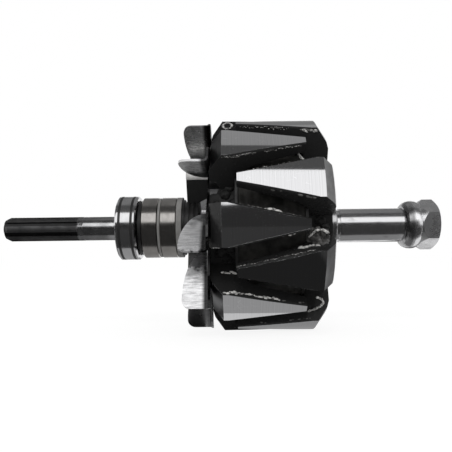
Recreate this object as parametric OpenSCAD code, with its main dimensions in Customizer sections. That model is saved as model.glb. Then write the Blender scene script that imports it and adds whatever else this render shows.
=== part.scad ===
// Claw-pole alternator rotor with splined rear shaft end.
// Millimetres. The shaft axis is X, Z is up, the origin is the middle of the rear bearing.

/* [Shaft] */
// diameter of the splined tail and of the bearing seat
tail_d = 12; // [11:0.5:13]
// how far the tail reaches behind the bearing's middle
tail_len = 62.8; // [50:0.1:70]
// number of spline grooves
spline_grooves = 7; // [6:1:8]
// width of a spline groove
spline_w = 2.2; // [1.6:0.1:2.6]
// depth of a spline groove
spline_depth = 1.1; // [0.7:0.1:1.4]
// straight length of the grooves from the shaft end
spline_len = 33.6; // [25:0.1:40]
// radius of the cutter that leaves the grooves' run-out
spline_cutter_r = 17.5; // [12:0.5:20]
// turn of the first spline groove
spline_turn = 28.4; // [0:0.1:50]
// chamfer at the tail's end
tail_chamfer = 1.9; // [0.8:0.1:2.2]
// diameter of the shaft under the slip rings
ring_seat_d = 14; // [13:0.5:15]
// diameter of the shaft in the pole pieces and the front collar
core_seat_d = 17.5; // [17:0.5:19]
// diameter of the front journal
journal_d = 17; // [16.5:0.1:17]
// length of the front journal
journal_len = 31.6; // [28:0.1:36]
// diameter of the undercut before the journal
undercut_d = 15.6; // [14.5:0.1:16]
// width of that undercut
undercut_w = 2; // [1:0.1:2.4]
// diameter of the thread for the pulley nut
thread_d = 16; // [14:0.5:16]
// chamfer on the thread's end
thread_chamfer = 1; // [0.5:0.1:1.5]
// diameter of the centre holes' cones
centre_d = 4; // [3:0.1:5]
// diameter of the centre holes' pilots
centre_pilot = 1.6; // [1:0.1:2]
// depth of the centre holes
centre_depth = 4.6; // [3.5:0.1:6]

/* [Pole pieces] */
// radius of the pole faces
pole_r = 52; // [50:0.5:54]
// claws on each pole piece
claws = 8; // [8:1:8]
// bearing middle to the middle of the poles
pole_mid = 68.8; // [67:0.1:72]
// length over both pole pieces
pole_len = 54.2; // [52:0.1:56]
// length of the chamfer at the outer end of a claw
chamfer_len = 5.6; // [4:0.1:6.5]
// height of that chamfer
chamfer_h = 7.8; // [5:0.1:9]
// rounding where the chamfer meets the end face
chamfer_round = 1.6; // [0.5:0.1:2]
// width of a claw at its root
claw_root_w = 18.5; // [17:0.1:19]
// width of a claw at its tip
claw_tip_w = 4.2; // [3:0.1:6]
// start of a claw's taper before the disc's inner face
taper_back = 0.8; // [0.3:0.1:2]
// thickness of a claw at its tip
claw_tip_t = 4.6; // [3.5:0.1:6]
// thickness of a claw where it leaves the disc
claw_root_t = 12; // [10:0.1:13]
// length of the gusset under a claw's root
gusset_len = 7.6; // [5:0.1:10]
// thickness of a claw where its gusset ends
gusset_t = 7.6; // [6.5:0.1:8.5]
// thickness of a pole piece's disc
disc_t = 11.2; // [10:0.1:12]
// size of the broken edges along the pole faces
edge_break = 0.5; // [0.3:0.05:0.7]
// depth of the floor between two claws under the pole faces
valley_depth = 18; // [16:0.5:20]
// shortening of a claw against the far chamfer's edge
tip_back = 6.4; // [5:0.1:8]
// turn of the rear pole piece about the shaft
pole_turn = 2.2; // [0:0.1:10]

/* [Field coil] */
// room between the claws and the bobbin's flanges
coil_room = 1; // [0.5:0.1:2]
// depth of the winding
coil_depth = 12.4; // [11.5:0.1:13.5]
// thickness of the bobbin's wall and flanges
bobbin_t = 1.2; // [0.8:0.1:1.6]
// how far the bobbin's flanges stand over the coil
flange_over = 1.4; // [0.9:0.1:1.6]
// thickness of the tape round the coil
wrap_t = 0.5; // [0.3:0.1:0.8]

/* [Fan] */
// how far the blades stay under the pole faces
fan_under = 1.5; // [1:0.1:3]
// sheet thickness
fan_t = 1; // [0.8:0.1:1.4]
// height of a blade over the sheet
blade_h = 12; // [10:0.5:14]
// edge of the sheet's opening to a blade's inner end
blade_start = 1.8; // [1.3:0.1:3]
// turn between a blade's two ends
blade_sweep = 23; // [18:0.5:26]
// inner radius of the bend between sheet and blade
bend_r = 1; // [0.6:0.1:1.4]
// room of the slit along a blade's foot
slit_room = 0.5; // [0.3:0.1:0.7]
// radius of the blade's outer corner
blade_corner = 3.8; // [2:0.1:4.5]
// width of the sheet's ring
fan_ring_w = 6.4; // [5.8:0.1:6.8]
// how far the sheet's opening is wider than the circle of the leads
bore_over = 0.3; // [0.1:0.1:0.8]
// diameter of the weld dimples in the sheet's ring
weld_d = 3; // [2:0.1:3.4]
// depth of the weld dimples
weld_depth = 0.4; // [0.2:0.1:0.6]
// turn from a blade to its weld dimple
weld_turn = -43; // [-45:1:-40]
// turn of each blade, uneven so that the fan runs quietly
blade_turns = [-71, -31.8, 14, 48.4, 86.4, 127, 167.5, 208, 248.5];

/* [Slip rings] */
// outer radius of the slip rings
ring_r = 15.2; // [14.5:0.1:16]
// inner radius of the slip rings
ring_in_r = 12.6; // [12:0.1:13]
// width of a slip ring
ring_w = 8; // [7:0.1:8.4]
// width of the barrier between the slip rings
barrier_w = 1.1; // [0.8:0.1:1.6]
// bearing face to the first slip ring
ring_start = 2.3; // [1.8:0.1:3]
// width of the pale collar after the second slip ring
collar_w = 2.5; // [2:0.1:3]
// length of the dark hub after the collar
hub_len = 8.2; // [7:0.1:9]
// radius of the dark hub's grooves
hub_r = 13; // [12.5:0.1:13.5]
// height of the dark hub's ribs
rib_h = 1; // [0.5:0.1:1.4]

/* [Leads] */
// thickness of a lead post round the shaft
post_w = 2.6; // [2:0.1:3]
// core to the middle of a lead
lead_over = 2.9; // [2.6:0.1:3.2]
// diameter of a lead's sleeve
sleeve_d = 4; // [3.4:0.1:4.2]
// depth to which a sleeve lies in its post
cradle = 0.5; // [0.3:0.1:0.8]
// hub's start to a post's start
post_start = 2.5; // [2:0.1:4]
// share of a post's height that its lower edge climbs on the way to the pole piece
post_climb = 0.28; // [0.15:0.01:0.4]
// turn of each lead from the front
lead_swing = 65.3; // [64:0.1:67]
// turn of the lower lead against that
lead_shift = 6.4; // [5:0.1:8]
// room round a sleeve in the pole piece
sleeve_room = 0.05; // [0.02:0.01:0.1]
// room round a sleeve in the fan
notch_room = 0.3; // [0.2:0.05:0.4]

/* [Bearing] */
// outer diameter
bearing_d = 32; // [32:1:32]
// width
bearing_w = 10; // [10:1:10]
// diameter of a ball
ball_d = 6; // [5.6:0.1:6]
// number of balls
balls = 7; // [6:1:7]
// radius of the circle the balls run on
ball_at = 10.9; // [10.8:0.1:11]
// outer radius of the inner ring's shoulders
inner_r = 8.4; // [8.2:0.1:8.5]
// inner radius of the outer ring's shoulders
outer_in_r = 13.2; // [13:0.1:13.4]
// running room between balls and outer ring
ball_room = 0.05; // [0.02:0.01:0.08]
// radial thickness of the cage
cage_t = 1.2; // [0.8:0.1:1.6]
// thickness of the cage's ring behind the balls
cage_back = 0.4; // [0.3:0.1:0.5]
// how far the cage's prongs reach past the balls' middle
cage_reach = 1.2; // [0.6:0.1:1.6]
// thickness of a seal
seal_t = 0.9; // [0.7:0.1:1.1]
// how far a seal is set in from the bearing's face
seal_in = 0.5; // [0.3:0.1:0.7]
// depth of a seal's seat in the outer ring
seal_seat = 0.7; // [0.5:0.1:0.9]
// room between a seal and the inner ring
seal_room = 0.3; // [0.2:0.05:0.4]
// width of a resin band
band_w = 1.25; // [1:0.05:1.5]
// depth of a resin band
band_depth = 0.6; // [0.4:0.1:0.8]
// bearing's middle to the middle of a band
band_at = 2.9; // [2.5:0.1:3]
// rounding of the ring's outer edges
bearing_round = 0.6; // [0.4:0.1:0.8]

/* [Front end] */
// outer radius of the front collar
collar_r = 10.7; // [10:0.1:11.5]
// length of the front collar
collar_len = 7.3; // [6:0.1:8]
// greatest radius of the spring washer
washer_r = 12.05; // [11.5:0.05:13]
// length of the spring washer
washer_len = 7.9; // [7:0.1:9]
// washer's start to its greatest radius
washer_crest = 4.9; // [4:0.1:5.5]
// radius of the faces where washer and nut meet
seat_r = 10.8; // [10:0.1:10.9]
// room between washer and thread
washer_room = 0.2; // [0.1:0.05:0.25]
// width across the nut's flats
nut_af = 22; // [22:1:22]
// height of the nut
nut_h = 8.9; // [8:0.1:10]
// length of the cone from the nut's seat to its corners
nut_cone = 3; // [2:0.1:4]
// turn of the nut
nut_turn = -5; // [-30:1:30]

/* [Hidden] */
$fn = 96;
claw_pitch = 360 / claws;
half_bearing = bearing_w / 2;
pole_rear = pole_mid - pole_len / 2;
pole_front = pole_mid + pole_len / 2;
disc_in = pole_rear + disc_t;
claw_tip_x = pole_front - chamfer_len - tip_back;
ring_a = half_bearing + ring_start;
ring_b = ring_a + ring_w + barrier_w;
collar_x = ring_b + ring_w;
hub_x = collar_x + collar_w;
hub_end = hub_x + hub_len;
post_x = hub_x + post_start;
journal_x = pole_front + collar_len + undercut_w;
washer_x = journal_x + journal_len;
nut_x = washer_x + washer_len;
shaft_end = nut_x + nut_h - 0.6;
lead_turn_upper = -lead_swing;
lead_turn_lower = lead_swing + lead_shift;
coil_r = pole_r - claw_root_t - coil_room - flange_over;
wind_in_r = coil_r - coil_depth;
core_r = wind_in_r - bobbin_t;
valley_r = pole_r - valley_depth;
lead_at = core_r + lead_over;
fan_bore_r = lead_at + bore_over;
fan_ring_r = fan_bore_r + fan_ring_w;
fan_r = pole_r - fan_under;
blade_in_r = fan_bore_r + blade_start;
arm_reach = 2 * blade_sweep;
blade_outer = [0, fan_r];
blade_inner = [blade_in_r * sin(blade_sweep), blade_in_r * cos(blade_sweep)];
blade_chord = norm(blade_outer - blade_inner);
blade_lean = atan2(blade_outer[0] - blade_inner[0], blade_outer[1] - blade_inner[1]);
blade_side = [cos(blade_lean), -sin(blade_lean)];
blade_run = (blade_inner - blade_outer) / blade_chord;

module along_x() {
    rotate([0, 90, 0]) children();
}

// turns a profile of [radius, x] points about the shaft axis
module turned(points) {
    along_x() rotate_extrude() polygon(points);
}

// stands a piece built along +Z at a turn counted downwards from the front
module at_turn(angle) {
    rotate([90 + angle, 0, 0]) children();
}

module spline_cut() {
    floor_r = tail_d / 2 - spline_depth;
    translate([-tail_len - 1, -spline_w / 2, floor_r]) cube([spline_len + 1, spline_w, 4]);
    translate([-tail_len + spline_len, 0, floor_r + spline_cutter_r]) rotate([90, 0, 0])
        cylinder(r = spline_cutter_r, h = spline_w, center = true);
}

module shaft() {
    cone = (centre_d - centre_pilot) / 2 / tan(30);
    color([0.62, 0.63, 0.64]) difference() {
        turned([[0, -tail_len + centre_depth], [centre_pilot / 2, -tail_len + centre_depth],
            [centre_pilot / 2, -tail_len + cone], [centre_d / 2, -tail_len],
            [tail_d / 2 - tail_chamfer / 2, -tail_len],
            [tail_d / 2, -tail_len + tail_chamfer], [tail_d / 2, half_bearing],
            [ring_seat_d / 2, half_bearing], [ring_seat_d / 2, hub_end],
            [core_seat_d / 2, hub_end + 1], [core_seat_d / 2, pole_front + collar_len],
            [undercut_d / 2, pole_front + collar_len], [undercut_d / 2, journal_x],
            [journal_d / 2, journal_x], [journal_d / 2, washer_x], [thread_d / 2, washer_x],
            [thread_d / 2, shaft_end - thread_chamfer],
            [thread_d / 2 - thread_chamfer, shaft_end], [centre_d / 2, shaft_end],
            [centre_pilot / 2, shaft_end - cone], [centre_pilot / 2, shaft_end - centre_depth],
            [0, shaft_end - centre_depth]]);
        for (i = [0 : spline_grooves - 1])
            at_turn(spline_turn + i * 360 / spline_grooves) spline_cut();
    }
}

// section of a pole piece with its claws, before the gaps between claws are cut
module claw_section() {
    slant = chamfer_round / norm([chamfer_h, chamfer_len]);
    polygon([[core_seat_d / 2, pole_rear], [pole_r - chamfer_h - chamfer_round, pole_rear],
        [pole_r - chamfer_h + slant * chamfer_h, pole_rear + slant * chamfer_len],
        [pole_r, pole_rear + chamfer_len], [pole_r, claw_tip_x],
        [pole_r - claw_tip_t, claw_tip_x], [pole_r - gusset_t, disc_in + gusset_len],
        [pole_r - claw_root_t, disc_in], [core_r, disc_in], [core_r, pole_mid], [core_seat_d / 2, pole_mid]]);
}

// outline of one claw seen from outside, open past the pole piece's two ends
module claw_outline() {
    root = claw_root_w / 2;
    tip = claw_tip_w / 2;
    from = disc_in - taper_back;
    polygon([[pole_rear - 1, -root], [from, -root], [claw_tip_x + 1, -tip],
        [claw_tip_x + 1, tip], [from, root], [pole_rear - 1, root]]);
}

// breaks the edge between a pole face and the flank, from point a to point b
module edge_cut(a, b) {
    run = b - a;
    swing = atan2(run[1], run[0]);
    rise = atan2(run[2], norm([run[0], run[1]]));
    translate(a) rotate([0, -rise, swing]) rotate([-45, 0, 0])
        translate([-2, -3, -edge_break * sqrt(0.5)]) cube([norm(run) + 4, 6, 3]);
}

// both broken edges of one claw
module claw_edge_cuts() {
    root = claw_root_w / 2;
    tip = claw_tip_w / 2;
    from = disc_in - taper_back;
    root_z = sqrt(pole_r * pole_r - root * root);
    tip_z = sqrt(pole_r * pole_r - tip * tip);
    for (side = [0, 1])
        mirror([0, side, 0]) edge_cut([from, root, root_z], [claw_tip_x + 1, tip, tip_z]);
}

// one turned piece, kept inside the floor radius and under the claws' outlines
module claw_piece() {
    difference() {
        intersection() {
            along_x() rotate_extrude() claw_section();
            union() {
                translate([pole_rear - 1, 0, 0]) along_x() cylinder(r = valley_r, h = pole_len);
                for (i = [0 : claws - 1])
                    at_turn(pole_turn + i * claw_pitch) linear_extrude(pole_r + 1) claw_outline();
            }
        }
        for (i = [0 : claws - 1])
            at_turn(pole_turn + i * claw_pitch) claw_edge_cuts();
    }
}

// round opening for a lead, from x to x + length
module lead_hole(angle, x, length, room) {
    at_turn(angle) translate([x, 0, lead_at]) along_x()
        cylinder(d = sleeve_d + 2 * room, h = length, $fn = 24);
}

module rear_claw() {
    color([0.45, 0.45, 0.46]) difference() {
        claw_piece();
        lead_hole(lead_turn_upper, pole_rear - 1, disc_t + 2, sleeve_room);
        lead_hole(lead_turn_lower, pole_rear - 1, disc_t + 2, sleeve_room);
    }
}

module front_claw() {
    color([0.5, 0.5, 0.51]) translate([2 * pole_mid, 0, 0]) mirror([1, 0, 0])
        rotate([claw_pitch / 2, 0, 0]) claw_piece();
}

module coil_bobbin() {
    a = disc_in;
    b = 2 * pole_mid - disc_in;
    top = coil_r + flange_over;
    color([0.2, 0.2, 0.2]) turned([[core_r, a], [top, a], [top, a + bobbin_t],
        [wind_in_r, a + bobbin_t], [wind_in_r, b - bobbin_t], [top, b - bobbin_t], [top, b],
        [core_r, b]]);
}

module field_coil() {
    a = disc_in + bobbin_t;
    b = 2 * pole_mid - disc_in - bobbin_t;
    color([0.42, 0.24, 0.14]) turned([[wind_in_r, a], [coil_r, a], [coil_r, b], [wind_in_r, b]]);
}

module coil_wrap() {
    a = disc_in + bobbin_t;
    b = 2 * pole_mid - disc_in - bobbin_t;
    top = coil_r + wrap_t;
    color([0.12, 0.12, 0.12]) turned([[coil_r, a], [top, a], [top, b], [coil_r, b]]);
}

// point of the fan in its own plane, for a blade that ends at turn 0
function fan_point(r, a) = [-r * sin(a), r * cos(a)];
function smooth(t) = t * t * (3 - 2 * t);

// point across and along the foot of a blade that ends at turn 0
function foot_point(across, along) = blade_outer + across * blade_side + along * blade_run;

// outline of the sheet under one blade: from the ring out along the trailing edge to the foot
module fan_arm() {
    steps = 8;
    start = fan_ring_r - 1.5;
    polygon(concat([fan_point(start - 1, -arm_reach - 6)],
        [for (i = [0 : steps]) fan_point(start + (fan_r - start) * smooth(i / steps),
            -arm_reach * (1 - i / steps)) + (i / steps) * bend_r * blade_side],
        [foot_point(-fan_t / 2, 0), foot_point(-fan_t / 2, blade_chord),
            fan_point(fan_bore_r, -arm_reach)]));
}

// the sheet is slit along a blade's foot, so that the blade can be bent up
module foot_slit() {
    low = -fan_t - slit_room;
    deep = blade_chord + slit_room;
    polygon([foot_point(low, -2), foot_point(bend_r, -2), foot_point(bend_r, deep), foot_point(low, deep)]);
}

// section across the bend: blade, quarter bend, end of the sheet
module bend_section() {
    turn_r = bend_r + fan_t;
    translate([-fan_t - blade_h, -fan_t]) square([blade_h - bend_r, fan_t]);
    intersection() {
        translate([-turn_r, -fan_t]) square(turn_r);
        difference() {
            translate([-turn_r, bend_r]) circle(turn_r);
            translate([-turn_r, bend_r]) circle(bend_r);
        }
    }
}

// face of a blade: full height at the outer end, falling in a quarter ellipse to the inner end
module blade_face() {
    base = fan_t + bend_r;
    steps = 14;
    run = blade_chord - blade_corner;
    high = blade_h - bend_r;
    polygon(concat([[1, 0], [-base - high + blade_corner, 0]],
        [for (i = [1 : 5]) [-base - high + blade_corner * (1 - sin(18 * i)),
            -blade_corner * (1 - cos(18 * i))]],
        [for (i = [1 : steps]) [-base - high * cos(90 * i / steps),
            -blade_corner - run * sin(90 * i / steps)]],
        [[1, -blade_chord]]));
}

module fan_blade() {
    translate([pole_rear, blade_outer[0], blade_outer[1]]) rotate([-blade_lean, 0, 0]) intersection() {
        translate([0, 0, -blade_chord]) linear_extrude(blade_chord) bend_section();
        rotate([90, 0, 0]) translate([0, 0, -bend_r - fan_t]) linear_extrude(bend_r + 3 * fan_t)
            blade_face();
    }
}

module fan_sheet() {
    difference() {
        union() {
            circle(fan_ring_r);
            for (a = blade_turns)
                rotate(90 + a) fan_arm();
        }
        for (a = blade_turns)
            rotate(90 + a) foot_slit();
        circle(fan_bore_r);
    }
}

module fan() {
    weld_r = (fan_ring_r + fan_bore_r) / 2;
    color([0.7, 0.7, 0.71]) difference() {
        union() {
            translate([pole_rear - fan_t, 0, 0]) rotate([90, 0, 90]) linear_extrude(fan_t) fan_sheet();
            for (a = blade_turns)
                at_turn(a) fan_blade();
        }
        lead_hole(lead_turn_upper, pole_rear - fan_t - 1, fan_t + 2, notch_room);
        lead_hole(lead_turn_lower, pole_rear - fan_t - 1, fan_t + 2, notch_room);
        for (a = blade_turns)
            at_turn(a + weld_turn) translate([pole_rear - fan_t - 1, 0, weld_r]) along_x()
                cylinder(d = weld_d, h = weld_depth + 1, $fn = 24);
    }
}

module slip_ring_core() {
    edge = ring_r - 0.3;
    color([0.72, 0.71, 0.68]) turned([[ring_seat_d / 2, half_bearing + 0.6],
        [ring_in_r + 1, half_bearing + 0.6], [ring_in_r + 1, ring_a], [ring_in_r, ring_a],
        [ring_in_r, ring_a + ring_w], [edge, ring_a + ring_w], [edge, ring_b], [ring_in_r, ring_b],
        [ring_in_r, collar_x], [ring_r, collar_x], [ring_r, hub_x], [ring_seat_d / 2, hub_x]]);
}

module slip_ring_hub() {
    top = hub_r + rib_h;
    step = hub_len / 7;
    color([0.1, 0.1, 0.1]) turned(concat([[ring_seat_d / 2, hub_x]],
        [for (i = [0 : 6]) each [[i % 2 == 0 ? top : hub_r, hub_x + i * step],
            [i % 2 == 0 ? top : hub_r, hub_x + (i + 1) * step]]],
        [[ring_seat_d / 2, hub_end]]));
}

module slip_ring(x) {
    soft = 0.5;
    turned([[ring_in_r, x], [ring_r - soft, x], [ring_r, x + soft], [ring_r, x + ring_w - soft],
        [ring_r - soft, x + ring_w], [ring_in_r, x + ring_w]]);
}

module slip_ring_outer() {
    color([0.66, 0.6, 0.55]) slip_ring(ring_a);
}

module slip_ring_inner() {
    color([0.66, 0.6, 0.55]) slip_ring(ring_b);
}

// fin on the hub that carries a lead to the pole piece
module lead_post(angle) {
    top = lead_at - sleeve_d / 2 + cradle;
    root = hub_r + rib_h - 0.3;
    low = root + post_climb * (top - root);
    color([0.08, 0.08, 0.08]) difference() {
        at_turn(angle) rotate([90, 0, 0]) translate([0, 0, -post_w / 2]) linear_extrude(post_w)
            polygon([[post_x, hub_r - 1], [post_x, top], [pole_rear, top], [pole_rear, low],
                [hub_end, root], [hub_end, hub_r - 1]]);
        slip_ring_hub();
        translate([hub_x - 1, 0, 0]) along_x() cylinder(r = hub_r, h = hub_len + 2);
        lead_hole(angle, post_x - 1, pole_rear - post_x + 2, 0);
    }
}

module lead_post_upper() {
    lead_post(lead_turn_upper);
}

module lead_post_lower() {
    lead_post(lead_turn_lower);
}

module lead_sleeve(angle) {
    color([0.8, 0.79, 0.76]) lead_hole(angle, post_x, disc_in - post_x, 0);
}

module lead_sleeve_upper() {
    lead_sleeve(lead_turn_upper);
}

module lead_sleeve_lower() {
    lead_sleeve(lead_turn_lower);
}

module bearing_outer_ring() {
    out = bearing_d / 2;
    low = out - band_depth;
    seat = outer_in_r + seal_seat;
    rim = half_bearing - seal_in - seal_t;
    soft = bearing_round;
    cut = band_w / 2;
    color([0.75, 0.76, 0.77]) difference() {
        turned([[seat, -half_bearing], [out - soft, -half_bearing], [out, -half_bearing + soft],
            [out, -band_at - cut], [low, -band_at - cut], [low, -band_at + cut],
            [out, -band_at + cut], [out, band_at - cut], [low, band_at - cut],
            [low, band_at + cut], [out, band_at + cut], [out, half_bearing - soft],
            [out - soft, half_bearing], [seat, half_bearing], [seat, rim], [outer_in_r, rim],
            [outer_in_r, -rim], [seat, -rim]]);
        along_x() rotate_extrude() translate([ball_at, 0]) circle(ball_d / 2 + ball_room);
    }
}

module bearing_inner_ring() {
    color([0.72, 0.73, 0.74]) difference() {
        turned([[tail_d / 2, -half_bearing], [inner_r, -half_bearing], [inner_r, half_bearing],
            [tail_d / 2, half_bearing]]);
        along_x() rotate_extrude() translate([ball_at, 0]) circle(ball_d / 2);
    }
}

module ball_set(r) {
    for (i = [0 : balls - 1])
        at_turn(i * 360 / balls) translate([0, 0, ball_at]) sphere(r, $fn = 32);
}

module bearing_balls() {
    color([0.8, 0.8, 0.82]) ball_set(ball_d / 2);
}

module bearing_cage() {
    color([0.55, 0.5, 0.4]) difference() {
        turned([[ball_at - cage_t / 2, -cage_reach], [ball_at + cage_t / 2, -cage_reach],
            [ball_at + cage_t / 2, ball_d / 2 + cage_back],
            [ball_at - cage_t / 2, ball_d / 2 + cage_back]]);
        ball_set(ball_d / 2);
    }
}

module bearing_seal(x) {
    seat = outer_in_r + seal_seat;
    color([0.1, 0.1, 0.1]) turned([[inner_r + seal_room, x], [seat, x], [seat, x + seal_t],
        [inner_r + seal_room, x + seal_t]]);
}

module bearing_seal_rear() {
    bearing_seal(-half_bearing + seal_in);
}

module bearing_seal_front() {
    bearing_seal(half_bearing - seal_in - seal_t);
}

module bearing_band(x) {
    out = bearing_d / 2;
    color([0.12, 0.12, 0.12]) turned([[out - band_depth, x - band_w / 2], [out, x - band_w / 2],
        [out, x + band_w / 2], [out - band_depth, x + band_w / 2]]);
}

module bearing_band_rear() {
    bearing_band(-band_at);
}

module bearing_band_front() {
    bearing_band(band_at);
}

module front_collar() {
    color([0.6, 0.61, 0.62]) turned([[core_seat_d / 2, pole_front], [collar_r, pole_front],
        [collar_r, pole_front + collar_len - 0.6], [collar_r - 0.6, pole_front + collar_len],
        [core_seat_d / 2, pole_front + collar_len]]);
}

module spring_washer() {
    low = thread_d / 2 + washer_room;
    neck = journal_d / 2 + 0.2;
    tail = washer_len - washer_crest;
    steps = 6;
    color([0.78, 0.79, 0.8]) turned(concat([[low, washer_x]],
        [for (i = [0 : steps]) [neck + (washer_r - neck) * sin(90 * i / steps),
            washer_x + washer_crest * (1 - cos(90 * i / steps))]],
        [for (i = [1 : steps]) [seat_r + (washer_r - seat_r) * cos(90 * i / steps),
            washer_x + washer_crest + tail * sin(90 * i / steps)]],
        [[low, nut_x]]));
}

module pulley_nut() {
    corner = nut_af / 2 / cos(30);
    flat = nut_af / 2;
    fall = (corner - flat) * tan(30);
    color([0.82, 0.83, 0.84]) difference() {
        intersection() {
            translate([nut_x - 1, 0, 0]) along_x() rotate([0, 0, -nut_turn])
                cylinder(r = corner, h = nut_h + 2, $fn = 6);
            turned([[0, nut_x], [seat_r, nut_x], [corner + 0.1, nut_x + nut_cone],
                [corner + 0.1, nut_x + nut_h - fall], [flat - 0.2, nut_x + nut_h], [0, nut_x + nut_h]]);
        }
        translate([nut_x - 1, 0, 0]) along_x() cylinder(d = thread_d, h = nut_h + 2);
    }
}

shaft();
rear_claw();
front_claw();
coil_bobbin();
field_coil();
coil_wrap();
fan();
slip_ring_core();
slip_ring_hub();
slip_ring_outer();
slip_ring_inner();
lead_post_upper();
lead_post_lower();
lead_sleeve_upper();
lead_sleeve_lower();
bearing_outer_ring();
bearing_inner_ring();
bearing_balls();
bearing_cage();
bearing_seal_rear();
bearing_seal_front();
bearing_band_rear();
bearing_band_front();
front_collar();
spring_washer();
pulley_nut();
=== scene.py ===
import math
import random

import bmesh
import bpy
from mathutils import Matrix, Vector, noise


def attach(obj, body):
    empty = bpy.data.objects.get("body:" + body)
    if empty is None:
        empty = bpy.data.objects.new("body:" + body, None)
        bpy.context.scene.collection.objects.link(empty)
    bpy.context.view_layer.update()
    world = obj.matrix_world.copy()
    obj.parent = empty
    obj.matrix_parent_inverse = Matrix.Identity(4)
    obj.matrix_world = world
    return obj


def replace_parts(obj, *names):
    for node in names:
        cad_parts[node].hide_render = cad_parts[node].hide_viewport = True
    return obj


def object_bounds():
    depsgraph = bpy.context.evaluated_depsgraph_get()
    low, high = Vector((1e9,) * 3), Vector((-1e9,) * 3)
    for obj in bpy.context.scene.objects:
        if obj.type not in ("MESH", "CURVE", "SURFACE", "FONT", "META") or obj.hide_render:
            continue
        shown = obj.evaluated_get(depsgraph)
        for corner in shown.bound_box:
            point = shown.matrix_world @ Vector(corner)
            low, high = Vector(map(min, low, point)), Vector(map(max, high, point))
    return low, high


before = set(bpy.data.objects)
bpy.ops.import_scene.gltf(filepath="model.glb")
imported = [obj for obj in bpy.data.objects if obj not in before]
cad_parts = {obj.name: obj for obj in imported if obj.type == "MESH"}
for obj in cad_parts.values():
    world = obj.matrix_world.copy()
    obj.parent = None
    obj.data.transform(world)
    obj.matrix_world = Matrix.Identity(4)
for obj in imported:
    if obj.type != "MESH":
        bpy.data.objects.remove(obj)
CAD_BOX = [list(corner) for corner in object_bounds()]

bl_info = {
    "name": "Claw-pole alternator rotor",
    "version": (1, 0, 0),
    "blender": (4, 5, 0),
    "location": "View3D > Sidebar > Rotor",
    "description": "Dresses a claw-pole alternator rotor and sets it on a studio floor",
    "category": "Object",
}

MM = 0.001
FULL_TURN = 2 * math.pi
MERGE_DIST = 1e-7

# the turned shapes that the finishes and the resin follow, in metres
POLE_R = 52 * MM
POLE_MID = 68.8 * MM
POLE_REAR = 41.7 * MM
SPLINE_END = -25.4 * MM
GROOVE_R = 5.4 * MM
RING_START = 7.3 * MM
FAN_FOOT = 39.4 * MM
CHAMFER_LEN = 5.6 * MM
CHAMFER_H = 7.8 * MM
TAPER_FROM = 52.1 * MM
CLAW_TIP = 83.9 * MM
TAPER_END = 84.9 * MM
ROOT_HALF = 9.25 * MM
TIP_HALF = 2.1 * MM
VALLEY_R = 34 * MM
WASHER_CREST = 141.7 * MM
CLAWS = 8
PITCH = math.radians(45)
POLE_TURN = math.radians(2.2)
COIL_R = 38.1 * MM
COIL_FROM = 54.1 * MM
COIL_TO = 83.5 * MM

# the coil's tape: its width, how far each turn of it and its lumps stand out, and the steps of its mesh
TAPE_WIDTH = 4.2 * MM
TAPE_THICK = 0.5 * MM
WRAP_HEIGHT = 0.25 * MM
LUMP_HEIGHT = 0.9 * MM
COIL_STEPS = 36
COIL_TURN_STEPS = 160

# worn, dull and bare places, and places with painted shade: where they are and how wide
WORN_FROM = -6 * MM
WORN_TO = -5 * MM
# painted shade at the fan blades' feet: the radii over which it grows
FOOT_SHADE_IN = 26 * MM
FOOT_SHADE_OUT = 36 * MM
BARE_SPOT = (42.8 * MM, -31.2 * MM, 16.3 * MM)
BARE_SIZE = 3.4 * MM
# painted shade on two fan blades: centre and size of each patch
SHADE_SPOTS = (((34 * MM, -5.3 * MM, -45 * MM), 11 * MM), ((34.5 * MM, -27 * MM, -13.5 * MM), 7.5 * MM))
DULL_SPOTS = ((34 * MM, -41 * MM, -5 * MM), (34 * MM, -36 * MM, 25 * MM))
DULL_SIZE = 12 * MM

# resin: how far it stays below the pole faces, the drip that curled into a ring, and the count of lumps
FACE_CLEAR = 0.15 * MM
CURL_R = 1.7 * MM
CURL_TUBE_R = 0.44 * MM
CURL_DEPTH = 49.8 * MM
CURL_BELOW = 2.1 * MM
LUMPS_IN_GAP = 6
LUMPS_ON_MASS = 26

# the stage: the sensor in millimetres, the shift in image widths, places and lengths in metres
SENSOR_WIDTH = 36
CAMERA_SHIFT = (-0.0200, 0.0611)
SOFTBOX_PLACE = (0.07, -0.566, 0.4153)
SOFTBOX_SIZE = (1.6, 0.442)
KEY_PLACE = (0.02, -0.54, 0.5)
KEY_SIZE = (0.1, 0.1)
FLOOR_HALF = 4
FLOOR_DROP = 0.0002
FLOOR_GLOW = 1.12
FLOOR_GLOW_SHARE = 0.8
LOW_CARD_LIFT = 0.0006
OVER_CARD_Z = 0.7
FRONT_CARD_Y = -0.9
FRONT_CARD_TOP = 0.285


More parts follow.
